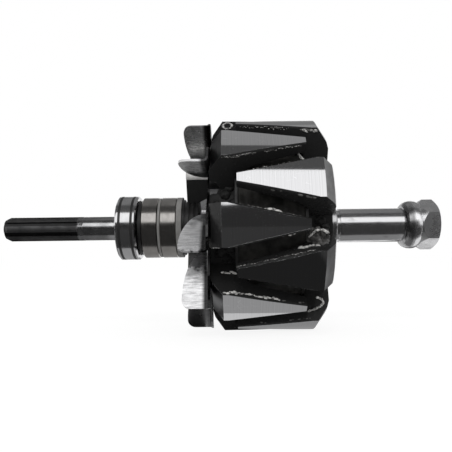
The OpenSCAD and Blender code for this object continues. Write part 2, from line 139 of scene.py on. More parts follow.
class RotorLooks(bpy.types.PropertyGroup):
    """Colours and finishes of the rotor"""

    steel: bpy.props.FloatVectorProperty(
        name="Ground steel", description="Colour of the ground shaft and bearing rings",
        subtype="COLOR", size=3, min=0, max=1, default=(0.62, 0.62, 0.63))
    pole: bpy.props.FloatVectorProperty(
        name="Pole faces", description="Colour of the turned pole faces",
        subtype="COLOR", size=3, min=0, max=1, default=(0.62, 0.62, 0.63))
    sheet: bpy.props.FloatVectorProperty(
        name="Fan sheet", description="Colour of the stamped fan",
        subtype="COLOR", size=3, min=0, max=1, default=(0.81, 0.81, 0.82))
    plating: bpy.props.FloatVectorProperty(
        name="Plating", description="Colour of the plated washer and nut",
        subtype="COLOR", size=3, min=0, max=1, default=(0.74, 0.74, 0.75))
    ring: bpy.props.FloatVectorProperty(
        name="Slip rings", description="Colour of the slip rings",
        subtype="COLOR", size=3, min=0, max=1, default=(0.4, 0.385, 0.37))
    varnish: bpy.props.FloatVectorProperty(
        name="Varnish", description="Colour of the black varnish and resin",
        subtype="COLOR", size=3, min=0, max=1, default=(0.021, 0.021, 0.021))
    bead_size: bpy.props.FloatProperty(
        name="Bead size", description="Mean half length of a resin bead",
        unit="LENGTH", subtype="DISTANCE", min=0.0002, max=0.002, default=0.0008)
    bead_gap: bpy.props.FloatProperty(
        name="Bead spacing", description="Mean distance between resin beads on a claw's edge",
        unit="LENGTH", subtype="DISTANCE", min=0.0005, max=0.01, default=0.0021)


class RotorStage(bpy.types.PropertyGroup):
    """Camera and light"""

    camera_place: bpy.props.FloatVectorProperty(
        name="Camera", description="Where the camera stands",
        unit="LENGTH", subtype="TRANSLATION", size=3, default=(0.0527, -0.2495, -0.0136))
    lens: bpy.props.FloatProperty(
        name="Lens", description="Focal length on a 36 mm wide image, in millimetres",
        min=10, max=200, default=38.96)
    roll: bpy.props.FloatProperty(
        name="Roll", description="Turn of the camera about its own axis",
        subtype="ANGLE", unit="ROTATION", default=math.radians(-0.72))
    softbox: bpy.props.FloatProperty(
        name="Softbox", description="Power of the softbox in watts",
        min=0, max=50, default=0.85)
    key: bpy.props.FloatProperty(
        name="Key lamp", description="Power of the small lamp that lights the resin, in watts",
        min=0, max=50, default=0.7)
    ambient: bpy.props.FloatProperty(
        name="Ambient", description="Strength of the light from all sides",
        min=0, max=2, default=0.57)


class Finish:
    """A material with its principled shader, and short calls that add nodes to it"""

    def __init__(self, name, metallic=0.0, **sockets):
        self.material = bpy.data.materials.new(name)
        self.material.use_nodes = True
        self.tree = self.material.node_tree
        self.shader = self.tree.nodes["Principled BSDF"]
        self.shader.inputs["Metallic"].default_value = metallic
        for key, value in sockets.items():
            self.shader.inputs[key.replace("_", " ")].default_value = value
        self.place = self.add("TexCoord", {}).outputs["Object"]
        parts = self.add("SeparateXYZ", {0: self.place})
        self.x, self.y, self.z = parts.outputs
        self.radius = self.math("SQRT", self.math("ADD", self.math("POWER", self.y, 2.0),
                                                  self.math("POWER", self.z, 2.0)))

    def patch(self, centre, size):
        """1 inside a ragged round patch, 0 outside"""
        away = self.add("VectorMath", {0: self.place, 1: centre}, operation="DISTANCE").outputs["Value"]
        away = self.math("ADD", away, self.ramp(self.noise(500), 0.3, 0.7, -0.25 * size, 0.25 * size))
        return self.ramp(away, size, 0.9 * size)

    def add(self, kind, inputs, **settings):
        node = self.tree.nodes.new("ShaderNode" + kind)
        for key, value in settings.items():
            setattr(node, key, value)
        for key, value in inputs.items():
            if isinstance(value, bpy.types.NodeSocket):
                self.tree.links.new(value, node.inputs[key])
            else:
                node.inputs[key].default_value = value
        return node

    def math(self, operation, a, b=0.0):
        return self.add("Math", {0: a, 1: b}, operation=operation).outputs[0]

    def ramp(self, value, low, high, out_low=0.0, out_high=1.0):
        return self.add("MapRange", {0: value, 1: low, 2: high, 3: out_low, 4: out_high}).outputs[0]

    def mix(self, share, a, b):
        return self.add("Mix", {0: share, 2: a, 3: b}, data_type="FLOAT").outputs[0]

    def tint(self, share, a, b):
        a = (*a, 1.0) if isinstance(a, tuple) else a
        b = (*b, 1.0) if isinstance(b, tuple) else b
        return self.add("Mix", {0: share, 6: a, 7: b}, data_type="RGBA").outputs[2]

    def stretched(self, x, y, z):
        return self.add("Mapping", {"Vector": self.place, "Scale": (x, y, z)}).outputs[0]

    def noise(self, scale, detail=3.0, vector=None):
        return self.add("TexNoise", {"Vector": vector or self.place, "Scale": scale,
                                     "Detail": detail, "Roughness": 0.55}).outputs[0]

    def lathe_lines(self, scale):
        """Fine rings round the shaft axis, as a lathe leaves them"""
        return self.add("TexNoise", {"W": self.x, "Scale": scale, "Detail": 4.0,
                                     "Roughness": 0.7}, noise_dimensions="1D").outputs[0]

    def scratches(self, scale):
        """Thin random lines from the seams of a bent cell pattern"""
        waves = self.add("TexNoise", {"Vector": self.place, "Scale": scale * 0.6}).outputs[1]
        shift = self.add("VectorMath", {0: waves, 3: 0.006}, operation="SCALE").outputs[0]
        bent = self.add("VectorMath", {0: self.place, 1: shift}, operation="ADD").outputs[0]
        cells = self.add("TexVoronoi", {"Vector": bent, "Scale": scale}, feature="DISTANCE_TO_EDGE")
        thin = self.ramp(cells.outputs[0], 0.012, 0.0)
        return self.math("MULTIPLY", thin, self.ramp(self.noise(scale * 0.8), 0.52, 0.62))

    def colour(self, value):
        self.set("Base Color", value)

    def roughness(self, value):
        self.set("Roughness", value)

    def set(self, socket, value):
        if isinstance(value, bpy.types.NodeSocket):
            self.tree.links.new(value, self.shader.inputs[socket])
        else:
            self.shader.inputs[socket].default_value = value

    def bump(self, height, distance):
        node = self.add("Bump", {"Height": height, "Distance": distance, "Strength": 1.0})
        self.tree.links.new(node.outputs[0], self.shader.inputs["Normal"])


def shade(colour, factor):
    return tuple(min(1.0, part * factor) for part in colour)


def dress(node, finish):
    """Gives a CAD node a material in all its slots"""
    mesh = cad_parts[node].data
    mesh.materials.clear()
    mesh.materials.append(finish.material)


def make_piece(name, shape, finish):
    """Makes a bmesh a smooth piece that turns with the rotor"""
    bmesh.ops.recalc_face_normals(shape, faces=shape.faces)
    mesh = bpy.data.meshes.new(name)
    shape.to_mesh(mesh)
    shape.free()
    mesh.polygons.foreach_set("use_smooth", [True] * len(mesh.polygons))
    mesh.materials.append(finish.material)
    piece = bpy.data.objects.new(name, mesh)
    bpy.context.scene.collection.objects.link(piece)
    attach(piece, "rotor")
    return piece


def outward(turn):
    """Direction from the axis to a turn counted downwards from the camera's side"""
    return Vector((0, -math.cos(turn), -math.sin(turn)))


def along(turn):
    """Direction in which that turn grows"""
    return Vector((0, math.sin(turn), -math.cos(turn)))


def half_width(depth):
    """Half the width of a claw at a depth measured from the rear pole piece's side"""
    share = (depth - TAPER_FROM) / (TAPER_END - TAPER_FROM)
    return ROOT_HALF + (TIP_HALF - ROOT_HALF) * min(1.0, max(0.0, share))


def flank_point(turn, side, depth, radius, front):
    """Point on a claw's flank; front claws run the other way"""
    half = half_width(depth)
    high = math.sqrt(radius * radius - half * half)
    x = 2 * POLE_MID - depth if front else depth
    return Vector((x, 0, 0)) + outward(turn) * high + along(turn) * side * half


def ground_steel(name, colour, rough, lines=2600, dark=0.7):
    """Turned or ground metal with fine rings and cloudy dull places"""
    finish = Finish(name, metallic=1.0)
    rings = finish.lathe_lines(lines)
    cloud = finish.noise(140, 4)
    finish.colour(finish.tint(finish.ramp(cloud, 0.4, 0.75), colour, shade(colour, dark)))
    finish.roughness(finish.math("ADD", finish.ramp(rings, 0.3, 0.7, rough * 0.75, rough * 1.25),
                                 finish.ramp(cloud, 0.4, 0.8, 0.0, 0.1)))
    finish.bump(rings, 4e-6)
    return finish


def shaft_finish(looks):
    """Ground journal, worn plain tail, and dark splines whose grooves are painted darker still, a painted
    shade
    """
    steel = tuple(looks.steel)
    finish = Finish("ground_shaft", metallic=1.0)
    rings = finish.lathe_lines(2400)
    cloud = finish.noise(160, 5)
    tail = finish.ramp(finish.x, SPLINE_END - 1 * MM, SPLINE_END, 1.0, 0.0)
    stain = finish.ramp(finish.noise(320, 4, vector=finish.stretched(0.4, 1, 1)), 0.55, 0.7)
    journal = finish.tint(finish.math("MULTIPLY", stain, 0.5), steel, shade(steel, 0.45))
    worn = finish.ramp(finish.x, WORN_FROM, WORN_TO, 1.0, 0.0)
    worn = finish.math("MULTIPLY", worn, finish.ramp(cloud, 0.35, 0.65, 0.1, 0.75))
    journal = finish.tint(worn, journal, shade(steel, 0.4))
    spline = finish.tint(finish.ramp(cloud, 0.35, 0.7), shade(steel, 0.26), shade(steel, 0.15))
    # painted shade: the spline grooves are painted near black
    groove_shade = finish.ramp(finish.radius, GROOVE_R, GROOVE_R + 0.3 * MM, 1.0, 0.0)
    spline = finish.tint(groove_shade, spline, shade(steel, 0.08))
    finish.colour(finish.tint(tail, journal, spline))
    finish.roughness(finish.mix(tail, finish.ramp(rings, 0.3, 0.7, 0.14, 0.24),
                                finish.ramp(cloud, 0.3, 0.7, 0.42, 0.6)))
    pits = finish.math("MULTIPLY", cloud, finish.math("MULTIPLY", tail, 3.0))
    finish.bump(finish.math("ADD", rings, pits), 5e-6)
    return finish


def bare_chamfers(finish, front):
    """1 where a claw's chamfer is bare steel, 0 where the varnish ran over it, which differs by claw"""
    down = finish.math("MULTIPLY", finish.z, -1.0)
    near = finish.math("MULTIPLY", finish.y, -1.0)
    turn = finish.math("ARCTAN2", down, near)
    first = POLE_TURN + (0.5 * PITCH if front else 0.0)
    claw = finish.math("ROUND", finish.math("DIVIDE", finish.math("SUBTRACT", turn, first), PITCH))
    count = finish.math("ADD", claw, 4.5 if front else 0.0)
    cover = finish.math("COSINE", finish.math("MULTIPLY", count, 2.4))
    flecks = finish.ramp(finish.noise(330, 4), 0.3, 0.7, -0.5, 0.5)
    return finish.ramp(finish.math("ADD", cover, flecks), 0.35, 0.5, 1.0, 0.0)


def claw_finish(looks, front):
    """Bare turned steel on the pole faces and, painted darker as a painted shade, on the chamfers; black
    varnish on all the rest
    """
    steel = tuple(looks.pole)
    finish = Finish("front_claw_finish" if front else "rear_claw_finish")
    depth = finish.math("SUBTRACT", 2 * POLE_MID, finish.x) if front else finish.x
    ragged = finish.noise(900, 3)
    edge = finish.math("SUBTRACT", finish.radius,
                       finish.ramp(ragged, 0.35, 0.7, POLE_R - 0.045 * MM, POLE_R - 0.03 * MM))
    face = finish.ramp(edge, -0.01 * MM, 0.01 * MM)
    slope = CHAMFER_H / CHAMFER_LEN
    inner = POLE_R - CHAMFER_H
    cone = finish.math("SUBTRACT", finish.math("SUBTRACT", finish.radius, inner),
                       finish.math("MULTIPLY", finish.math("SUBTRACT", depth, POLE_REAR), slope))
    chamfer = finish.ramp(finish.math("ABSOLUTE", cone), 0.3 * MM, 0.2 * MM)
    chamfer = finish.math("MULTIPLY", chamfer, finish.ramp(finish.radius, inner, inner + 0.4 * MM))
    chamfer = finish.math("MULTIPLY", chamfer, bare_chamfers(finish, front))
    bare = finish.math("MAXIMUM", face, chamfer)
    if not front:
        bare = finish.math("MAXIMUM", bare, finish.patch(BARE_SPOT, BARE_SIZE))
    rings = finish.lathe_lines(1900)
    cloud = finish.noise(60, 4)
    marks = finish.scratches(260)
    face_colour = finish.tint(finish.ramp(rings, 0.35, 0.75), steel, shade(steel, 0.88))
    # painted shade: the bare chamfers are painted as darker copies of the pole steel, with cloudy scuffs
    chamfer_shaded_colour = finish.tint(finish.ramp(cloud, 0.35, 0.65), shade(steel, 0.4), shade(steel, 0.2))
    metal = finish.tint(face, chamfer_shaded_colour, face_colour)
    metal = finish.tint(finish.math("MULTIPLY", marks, 0.6), metal, shade(steel, 1.5))
    finish.colour(finish.tint(bare, tuple(looks.varnish), metal))
    finish.set("Metallic", bare)
    finish.set("Specular IOR Level", 0.1)
    varnish_rough = finish.ramp(finish.noise(350, 4), 0.35, 0.7, 0.1, 0.32)
    metal_rough = finish.mix(face, finish.ramp(cloud, 0.3, 0.7, 0.3, 0.45),
                             finish.ramp(rings, 0.3, 0.7, 0.05, 0.09))
    finish.roughness(finish.mix(bare, varnish_rough, metal_rough))
    lumps = finish.math("MULTIPLY", finish.noise(420, 4), finish.ramp(bare, 0.0, 1.0, 1.0, 0.0))
    finish.bump(finish.math("ADD", finish.math("MULTIPLY", lumps, 40.0), rings), 5e-6)
    return finish


def fan_finish(looks):
    """Brushed sheet with soot, painted shade at the blades' feet and on two patches, dull places and
    scratches
    """
    sheet = tuple(looks.sheet)
    finish = Finish("fan_sheet_finish", metallic=1.0)
    brushed = finish.noise(240, 4, vector=finish.stretched(0.8, 5, 5))
    cloud = finish.noise(70, 4)
    marks = finish.scratches(300)
    soot = finish.ramp(finish.noise(110, 5), 0.56, 0.7)
    colour = finish.tint(finish.ramp(brushed, 0.35, 0.7), sheet, shade(sheet, 0.7))
    colour = finish.tint(finish.math("MULTIPLY", soot, 0.55), colour, shade(sheet, 0.25))
    # painted shade: the sheet goes near black towards the blades' feet, next to the pole piece
    foot_shade = finish.ramp(finish.x, FAN_FOOT - 2.0 * MM, FAN_FOOT - 0.4 * MM)
    foot_shade = finish.math("MULTIPLY", foot_shade, finish.ramp(finish.radius, FOOT_SHADE_IN, FOOT_SHADE_OUT, 0.3, 1.0))
    colour = finish.tint(foot_shade, colour, shade(sheet, 0.05))
    # painted shade: two ragged patches on blades under and behind others are painted dark
    painted_shade = finish.math("MAXIMUM", *[finish.patch(spot, size) for spot, size in SHADE_SPOTS])
    colour = finish.tint(finish.math("MULTIPLY", painted_shade, 0.8), colour, shade(sheet, 0.12))
    dull = finish.math("MAXIMUM", *[finish.patch(spot, DULL_SIZE) for spot in DULL_SPOTS])
    dull = finish.math("MULTIPLY", dull, finish.ramp(brushed, 0.3, 0.7, 0.6, 0.35))
    finish.set("Metallic", finish.math("SUBTRACT", 1.0, dull))
    finish.colour(finish.tint(finish.math("MULTIPLY", marks, 0.7), colour, shade(sheet, 0.3)))
    finish.roughness(finish.math("ADD", finish.ramp(brushed, 0.3, 0.7, 0.2, 0.34),
                                 finish.ramp(cloud, 0.45, 0.75, 0.0, 0.15)))
    finish.bump(finish.math("SUBTRACT", brushed, marks), 1.2e-5)
    return finish


def moulding_finish(name, colour, rough, dark_before=None):
    """Moulded plastic; the part before a place on the shaft can be painted black, a painted shade in the gap
    there
    """
    finish = Finish(name)
    cloud = finish.noise(220, 4)
    grain = finish.noise(2400, 2)
    paint = finish.tint(finish.ramp(cloud, 0.35, 0.7), colour, shade(colour, 0.66))
    if dark_before is not None:
        # painted shade: the moulding before that place is painted black
        gap_shade = finish.ramp(finish.x, dark_before - 0.1 * MM, dark_before, 1.0, 0.0)
        paint = finish.tint(gap_shade, paint, (0.015, 0.015, 0.015))
    finish.colour(paint)
    finish.roughness(finish.ramp(cloud, 0.3, 0.7, rough, rough + 0.15))
    finish.bump(finish.math("ADD", grain, finish.math("MULTIPLY", cloud, 3.0)), 2e-5)
    return finish


def resin_finish(name, colour, rough, fade=0.45):
    """Hardened varnish: glossy, cloudy and a little wrinkled"""
    finish = Finish(name, IOR=1.55)
    cloud = finish.noise(700, 4)
    finish.colour(finish.tint(finish.ramp(cloud, 0.42, 0.62), colour, shade(colour, fade)))
    finish.roughness(finish.ramp(cloud, 0.35, 0.7, rough, rough + 0.14))
    finish.bump(cloud, 6e-5)
    return finish


def tape_finish():
    """Dark woven tape wound round the coil"""
    finish = Finish("coil_tape")
    weave = finish.noise(1500, 3, vector=finish.stretched(0.25, 1, 1))
    uneven = finish.math("ADD", finish.x, finish.math("MULTIPLY", finish.noise(80), 2 * MM))
    wraps = finish.math("SINE", finish.math("MULTIPLY", uneven, FULL_TURN / TAPE_WIDTH))
    cloud = finish.noise(180, 5)
    finish.colour(finish.tint(finish.ramp(cloud, 0.4, 0.7), (0.016, 0.016, 0.015), (0.045, 0.043, 0.04)))
    finish.roughness(finish.ramp(cloud, 0.35, 0.7, 0.35, 0.6))
    finish.set("Specular IOR Level", 0.2)
    finish.bump(finish.math("ADD", weave, finish.math("MULTIPLY", wraps, 0.6)), 1.2e-4)
    return finish


def washer_finish(looks):
    """Bright plating on the rim, and darker plating on the cone, a painted shade that dims its highlight"""
    plating = tuple(looks.plating)
    finish = Finish("washer_plating", metallic=1.0)
    cloud = finish.noise(300, 4)
    rim = finish.ramp(finish.x, WASHER_CREST - 1.6 * MM, WASHER_CREST - 0.4 * MM)
    # painted shade: the cone is painted as darker copies of the plating
    cone = finish.tint(finish.ramp(cloud, 0.35, 0.65), shade(plating, 0.52), shade(plating, 0.36))
    finish.colour(finish.tint(rim, cone, plating))
    finish.roughness(finish.ramp(cloud, 0.3, 0.7, 0.2, 0.32))
    finish.bump(cloud, 8e-6)
    return finish


def nut_finish(looks):
    """Cloudy plating with scratches"""
    plating = tuple(looks.plating)
    finish = Finish("nut_plating", metallic=1.0)
    cloud = finish.noise(240, 4)
    marks = finish.scratches(420)
    clean = finish.tint(finish.ramp(cloud, 0.4, 0.7), plating, shade(plating, 0.8))
    finish.colour(finish.tint(finish.math("MULTIPLY", marks, 0.6), clean, shade(plating, 0.45)))
    finish.roughness(finish.ramp(cloud, 0.3, 0.7, 0.22, 0.36))
    finish.bump(finish.math("SUBTRACT", cloud, marks), 8e-6)
    return finish


class ROTOR_OT_stage(bpy.types.Operator):
    """Sets the floor, the light and the camera"""

    bl_idname = "rotor.stage"
    bl_label = "Stage"

    def execute(self, context):
        stage = context.scene.rotor_stage
        scene = context.scene
        scene.view_settings.view_transform = "Standard"
        self.world(scene, stage)
        low = CAD_BOX[0][2]
        self.floor(low)
        self.cards(low)
        self.lamps(stage)
        self.camera(scene, stage)
        return {"FINISHED"}

    def white_to_eye(self, tree):
        """1 for camera, glossy and transmission rays, 0 for light that only falls on things"""
        path = tree.nodes.new("ShaderNodeLightPath")
        total = path.outputs["Is Camera Ray"]
        for name in ("Is Glossy Ray", "Is Transmission Ray"):
            node = tree.nodes.new("ShaderNodeMath")
            node.operation = "MAXIMUM"
            tree.links.new(total, node.inputs[0])
            tree.links.new(path.outputs[name], node.inputs[1])
            total = node.outputs[0]
        return total

    def world(self, scene, stage):
        world = bpy.data.worlds.new("white_room")
        scene.world = world
        world.use_nodes = True
        tree = world.node_tree
        back = tree.nodes["Background"]
        back.inputs["Color"].default_value = (1, 1, 1, 1)
        level = tree.nodes.new("ShaderNodeMapRange")
        tree.links.new(self.white_to_eye(tree), level.inputs[0])
        level.inputs[3].default_value = stage.ambient
        level.inputs[4].default_value = 1.0
        tree.links.new(level.outputs[0], back.inputs["Strength"])

    def plane(self, name, corners, material):
        shape = bmesh.new()
        shape.faces.new([shape.verts.new(c) for c in corners])
        mesh = bpy.data.meshes.new(name)
        shape.to_mesh(mesh)
        shape.free()
        mesh.materials.append(material)
        thing = bpy.data.objects.new(name, mesh)
        bpy.context.scene.collection.objects.link(thing)
        return thing

    def level_plane(self, name, xs, ys, z, material):
        corners = [(xs[0], ys[0], z), (xs[1], ys[0], z), (xs[1], ys[1], z), (xs[0], ys[1], z)]
        return self.plane(name, corners, material)

    def empty_material(self, name):
        """A material, its node tree and the output node, which is all that the tree holds"""
        material = bpy.data.materials.new(name)
        material.use_nodes = True
        tree = material.node_tree
        tree.nodes.clear()
        return material, tree, tree.nodes.new("ShaderNodeOutputMaterial")

    def floor(self, low):
        """A pale floor that looks white and keeps a faint shadow"""
        material, tree, out = self.empty_material("pale_floor")
        matt = tree.nodes.new("ShaderNodeBsdfDiffuse")
        matt.inputs["Color"].default_value = (0.9, 0.9, 0.9, 1)
        glow = tree.nodes.new("ShaderNodeEmission")
        glow.inputs["Strength"].default_value = FLOOR_GLOW
        blend = tree.nodes.new("ShaderNodeMixShader")
        part = tree.nodes.new("ShaderNodeMath")
        part.operation = "MULTIPLY"
        part.inputs[1].default_value = FLOOR_GLOW_SHARE
        tree.links.new(self.white_to_eye(tree), part.inputs[0])
        tree.links.new(part.outputs[0], blend.inputs[0])
        tree.links.new(matt.outputs[0], blend.inputs[1])
        tree.links.new(glow.outputs[0], blend.inputs[2])
        tree.links.new(blend.outputs[0], out.inputs[0])
        reach = (-FLOOR_HALF, FLOOR_HALF)
        self.level_plane("floor", reach, reach, low - FLOOR_DROP, material)

    def card_material(self, level):
        material, tree, out = self.empty_material("card_%03d" % round(1000 * level))
        glow = tree.nodes.new("ShaderNodeEmission")
        glow.inputs["Color"].default_value = (level, level, level, 1)
        tree.links.new(glow.outputs[0], out.inputs[0])
        return material

    def cards(self, low):
        """Dark and bright cards that only reflections see, as a photographer sets them round shiny parts"""
        # name, brightness, reach along x and along y
        flat = [
            ("low_card_far", 0.052, (-2, 2), (-0.9, -0.13)),
            ("low_card_left", 0.05, (-2, 0.0275), (-0.13, -0.02)),
            ("low_card_poles", 0.02, (0.0275, 0.1), (-0.13, -0.046)),
            ("low_card_fan", 0.02, (0.0275, 0.0375), (-0.046, 0.012)),
            ("low_card_right", 0.05, (0.1, 2), (-0.13, -0.022)),
            ("under_card_spline", 0.17, (-2, -0.023), (-0.02, 0.2)),
            ("under_card_rings", 0.4, (-0.023, 0.0275), (-0.02, 0.2)),
            ("under_card_journal", 0.28, (0.1, 0.155), (-0.022, 0.035)),
            ("under_card_nut", 0.9, (0.155, 0.25), (-0.022, 0.035)),
            ("under_card_right", 0.12, (0.155, 2), (0.035, 0.8)),
            ("under_card_poles", 0.42, (0.0415, 0.1), (-0.046, -0.0297)),
            ("under_card_strip", 0.8, (0.0415, 0.1), (-0.0297, -0.0225)),
            ("under_card_deep", 0.34, (0.0415, 0.1), (-0.0225, 0.0)),
        ]
        above = [
            ("over_card", 0.105, (-2, 2), (-0.505, -0.03)),
            ("far_card", 0.36, (-0.06, 0.25), (-0.03, 0.6)),
            ("far_card_back", 0.24, (-0.06, 0.25), (0.6, 1.3)),
            ("far_card_right", 0.23, (0.25, 2), (-0.03, 1.3)),
            ("far_card_rings", 0.26, (-0.22, -0.06), (-0.03, 1.3)),
            ("far_card_spline", 0.13, (-2, -0.22), (-0.03, 1.3)),
        ]
        cards = []
        for z, places in ((low + LOW_CARD_LIFT, flat), (OVER_CARD_Z, above)):
            for name, level, xs, ys in places:
                cards.append(self.level_plane(name, xs, ys, z, self.card_material(level)))
        for name, level, xs in (("front_card", 0.036, (-2, 0.42)), ("front_card_nut", 0.11, (0.42, 0.75))):
            y, top = FRONT_CARD_Y, FRONT_CARD_TOP
            corners = [(xs[0], y, low), (xs[1], y, low), (xs[1], y, top), (xs[0], y, top)]
            cards.append(self.plane(name, corners, self.card_material(level)))
        for thing in cards:
            thing.visible_camera = False
            thing.visible_diffuse = False
            thing.visible_transmission = False
            thing.visible_shadow = False

    def lamp(self, name, place, size, energy):
        """A lamp with a flat face, turned to the rotor's axis"""
        data = bpy.data.lights.new(name, "AREA")
        data.shape = "RECTANGLE"
        data.size, data.size_y = size
        data.energy = energy
        thing = bpy.data.objects.new(name, data)
        aim = Vector((place[0], 0, 0)) - Vector(place)
        thing.rotation_euler = aim.to_track_quat("-Z", "Y").to_euler()
        thing.location = place
        bpy.context.scene.collection.objects.link(thing)
        return thing

    def lamps(self, stage):
        self.lamp("softbox", SOFTBOX_PLACE, SOFTBOX_SIZE, stage.softbox)
        key = self.lamp("key_lamp", KEY_PLACE, KEY_SIZE, stage.key)
        key.visible_glossy = False

    def camera(self, scene, stage):
        data = bpy.data.cameras.new("camera")
        data.lens = stage.lens
        data.sensor_width = SENSOR_WIDTH
        data.shift_x, data.shift_y = CAMERA_SHIFT
        data.clip_start = 0.01
        thing = bpy.data.objects.new("camera", data)
        turn = Matrix.Rotation(math.radians(90), 4, "X") @ Matrix.Rotation(stage.roll, 4, "Z")
        thing.matrix_world = Matrix.Translation(stage.camera_place) @ turn
        scene.collection.objects.link(thing)
        scene.camera = thing


class ROTOR_OT_shaft(bpy.types.Operator):
    """Finishes the shaft and its front collar"""

    bl_idname = "rotor.shaft"
    bl_label = "Shaft"

    def execute(self, context):
        looks = context.scene.rotor_looks
        dress("shaft", shaft_finish(looks))
        dress("front_collar", ground_steel("collar_steel", shade(tuple(looks.steel), 0.8), 0.24))
        return {"FINISHED"}


class ROTOR_OT_bearing(bpy.types.Operator):
    """Finishes the rear bearing"""

    bl_idname = "rotor.bearing"
    bl_label = "Rear bearing"

    def execute(self, context):
        looks = context.scene.rotor_looks
        race = ground_steel("bearing_steel", tuple(looks.steel), 0.12, lines=3200, dark=0.85)
        for node in ("bearing_outer_ring", "bearing_inner_ring", "bearing_balls"):
            dress(node, race)
        dress("bearing_cage", moulding_finish("cage_moulding", (0.3, 0.27, 0.22), 0.4))
        rubber = moulding_finish("seal_rubber", (0.03, 0.03, 0.03), 0.45)
        band = moulding_finish("band_resin", (0.025, 0.025, 0.025), 0.3)
        for end in ("rear", "front"):
            dress("bearing_seal_" + end, rubber)
            dress("bearing_band_" + end, band)
        return {"FINISHED"}


class ROTOR_OT_slip_rings(bpy.types.Operator):
    """Finishes the slip rings, their moulding and the leads"""

    bl_idname = "rotor.slip_rings"
    bl_label = "Slip rings"

    def execute(self, context):
        looks = context.scene.rotor_looks
        ring = ground_steel("ring_metal", tuple(looks.ring), 0.17, lines=1500, dark=0.75)
        dress("slip_ring_outer", ring)
        dress("slip_ring_inner", ring)
        # painted shade: black in the gap between the bearing and the first ring
        core = moulding_finish("pale_moulding", (0.3, 0.295, 0.285), 0.42, dark_before=RING_START)
        dress("slip_ring_core", core)
        dark = moulding_finish("dark_moulding", (0.02, 0.02, 0.02), 0.32)
        sleeve = moulding_finish("fibre_sleeve", (0.82, 0.81, 0.79), 0.5)
        dress("slip_ring_hub", dark)
        for end in ("upper", "lower"):
            dress("lead_post_" + end, dark)
            dress("lead_sleeve_" + end, sleeve)
        return {"FINISHED"}


class ROTOR_OT_fan(bpy.types.Operator):
    """Finishes the stamped fan"""

    bl_idname = "rotor.fan"
    bl_label = "Fan"

    def execute(self, context):
        dress("fan", fan_finish(context.scene.rotor_looks))
        return {"FINISHED"}


class ROTOR_OT_poles(bpy.types.Operator):
    """Finishes the two claw pole pieces"""

    bl_idname = "rotor.poles"
    bl_label = "Pole pieces"

    def execute(self, context):
        looks = context.scene.rotor_looks
        dress("rear_claw", claw_finish(looks, front=False))
        dress("front_claw", claw_finish(looks, front=True))
        return {"FINISHED"}


class ROTOR_OT_coil(bpy.types.Operator):
    """Finishes the coil and makes its lumpy taped outside"""

    bl_idname = "rotor.coil"
    bl_label = "Field coil"

    def execute(self, context):
        dress("field_coil", moulding_finish("varnished_wire", (0.2, 0.1, 0.05), 0.3))
        dress("coil_bobbin", moulding_finish("bobbin_moulding", (0.03, 0.03, 0.03), 0.3))
        tape = tape_finish()
        dress("coil_wrap", tape)
        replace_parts(self.wrapped_coil(tape), "coil_wrap")
        return {"FINISHED"}

    def wrapped_coil(self, tape):
        """A thin sleeve spun round the axis, with the ridges of the wound tape and lumps pushed out of it"""
        shape = bmesh.new()
        inner = COIL_R - TAPE_THICK
        rim = [shape.verts.new((COIL_FROM, -inner, 0))]
        for step in range(COIL_STEPS + 1):
            x = COIL_FROM + (COIL_TO - COIL_FROM) * step / COIL_STEPS
            rim.append(shape.verts.new((x, -COIL_R, 0)))
        rim.append(shape.verts.new((COIL_TO, -inner, 0)))
        edges = [shape.edges.new(rim[i:i + 2]) for i in range(len(rim) - 1)]
        edges.append(shape.edges.new((rim[-1], rim[0])))
        bmesh.ops.spin(shape, geom=rim + edges, cent=(0, 0, 0), axis=(1, 0, 0),
                       angle=FULL_TURN, steps=COIL_TURN_STEPS, use_merge=True)
        bmesh.ops.remove_doubles(shape, verts=shape.verts, dist=MERGE_DIST)
        for vert in shape.verts:
            radius = math.hypot(vert.co.y, vert.co.z)
            if radius < COIL_R - 0.2 * MM:
                continue
            winding = 0.4 * math.atan2(vert.co.z, vert.co.y)
            wrap = WRAP_HEIGHT * abs(math.sin(math.pi * vert.co.x / TAPE_WIDTH + winding))
            lump = noise.noise(vert.co * 180) + 0.5 * noise.noise(vert.co * 420)
            grow = wrap + max(0.0, lump) * LUMP_HEIGHT
            vert.co.y *= 1 + grow / radius
            vert.co.z *= 1 + grow / radius
        return make_piece("taped_coil", shape, tape)


